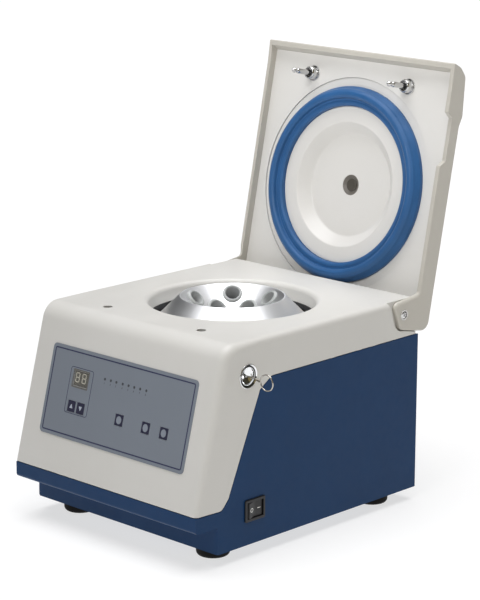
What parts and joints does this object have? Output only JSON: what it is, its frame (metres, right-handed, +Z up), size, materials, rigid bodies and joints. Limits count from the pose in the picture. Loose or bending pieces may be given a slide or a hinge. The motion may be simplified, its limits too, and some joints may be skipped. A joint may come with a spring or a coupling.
{
  "type": "bench centrifuge",
  "caption": "Compact bench centrifuge with hinged square lid, angled-tube rotor in a round chamber, sloped key panel, rocker switch and side pull-ring lid release.",
  "frame": {"origin": "on the bench, under the middle of the body", "axes": "+Z up, +Y to the rear (hinge side), +X to the side with the power switch and pull ring"},
  "size_m": [0.3231, 0.435, 0.5008],
  "materials": {
    "navy_steel": "satin painted folded steel",
    "cream_moulding": "lightly textured ivory moulding",
    "white_liner": "smooth ivory moulding",
    "blue_gasket": "soft blue silicone rubber",
    "black_rubber": "black rubber",
    "black_plastic": "black moulded plastic",
    "panel_grey": "printed grey-blue film",
    "key_navy": "printed navy film key",
    "smoked_window": "tinted window",
    "display_face": "two digit display",
    "rotor_alloy": "bright turned aluminium",
    "sleeve_alloy": "bright aluminium sleeve",
    "chrome": "polished",
    "steel": "plated steel",
    "bowl_black": "black coated steel",
    "board_green": "glass fibre board",
    "copper_core": "laminated core with winding",
    "motor_paint": "motor case enamel",
    "clear_window": "clear sight window"
  },
  "bodies": {
    "housing": {"base_chassis": "navy_steel", "rear_panel": "navy_steel", "rear_panel_screws": "steel", "upper_cover": "cream_moulding", "cover_screws": "steel", "keypad_overlay": "panel_grey", "display_window": "smoked_window", "display_module": "display_face", "control_board": "board_green", "control_board_parts": "black_plastic", "board_screws": "steel", "chamber_bowl": "bowl_black", "chamber_ring": "bowl_black", "chamber_seal": "black_rubber", "bowl_spacers": "steel", "motor_mount_plate": "steel", "mount_posts": "steel", "plate_screws": "steel", "motor_dampers": "black_rubber", "motor_housing": "motor_paint", "motor_stator": "copper_core", "motor_bearings": "steel", "drive_board": "board_green", "drive_board_parts": "black_plastic", "board_standoffs": "steel", "power_transformer": "copper_core", "power_inlet": "black_plastic", "fuse_holder": "black_plastic", "rubber_feet": "black_rubber", "foot_screws": "steel", "switch_bezel": "black_plastic", "release_cup": "chrome", "latch_guides": "black_plastic", "lid_switch": "black_plastic", "hinge_screws": "chrome"},
    "lid": {"lid_shell": "cream_moulding", "lid_liner": "white_liner", "lid_disc": "white_liner", "lid_gasket": "blue_gasket", "lid_dish": "white_liner", "lid_port_window": "clear_window", "latch_pins": "chrome", "latch_pin_collars": "chrome", "hinge_bushes": "black_plastic"},
    "rotor": {"rotor_head": "rotor_alloy", "tube_sleeves": "sleeve_alloy", "tube_cushions": "black_rubber", "motor_shaft": "steel", "motor_armature": "steel", "rotor_nut": "chrome"},
    "release": {"latch_bar": "steel", "pull_cable": "steel", "cable_ferrules": "steel", "pull_ring": "chrome"},
    "rocker": {"power_rocker": "black_plastic"},
    "keycap_up": {"key_up": "key_navy"},
    "keycap_down": {"key_down": "key_navy"},
    "keycap_speed": {"key_speed": "key_navy"},
    "keycap_start": {"key_start": "key_navy"},
    "keycap_stop": {"key_stop": "key_navy"}
  },
  "joints": [
    {"name": "lid_hinge", "type": "hinge", "parent": "housing", "child": "lid", "pos_m": [0, 0.1541, 0.2238], "axis": [1, 0, 0], "range_deg": [0, 101.85]},
    {"name": "rotor_spin", "type": "hinge", "parent": "housing", "child": "rotor", "pos_m": [0, 0.0226, 0.165], "axis": [0, 0, 1], "continuous": true},
    {"name": "release_slide", "type": "slide", "parent": "housing", "child": "release", "axis": [1, 0, 0], "range_m": [-0.006, 0]},
    {"name": "rocker_tilt", "type": "hinge", "parent": "housing", "child": "rocker", "pos_m": [0.1391, -0.0899, 0.0536], "axis": [0, 0, 1], "range_deg": [-14, 0]},
    {"name": "press_up", "type": "slide", "parent": "housing", "child": "keycap_up", "axis": [0, 0.9678, -0.2516], "range_m": [0, 0.0004], "stiffness_N_per_m": 1500},
    {"name": "press_down", "type": "slide", "parent": "housing", "child": "keycap_down", "axis": [0, 0.9678, -0.2516], "range_m": [0, 0.0004], "stiffness_N_per_m": 1500},
    {"name": "press_speed", "type": "slide", "parent": "housing", "child": "keycap_speed", "axis": [0, 0.9678, -0.2516], "range_m": [0, 0.0004], "stiffness_N_per_m": 1500},
    {"name": "press_start", "type": "slide", "parent": "housing", "child": "keycap_start", "axis": [0, 0.9678, -0.2516], "range_m": [0, 0.0004], "stiffness_N_per_m": 1500},
    {"name": "press_stop", "type": "slide", "parent": "housing", "child": "keycap_stop", "axis": [0, 0.9678, -0.2516], "range_m": [0, 0.0004], "stiffness_N_per_m": 1500}
  ]
}
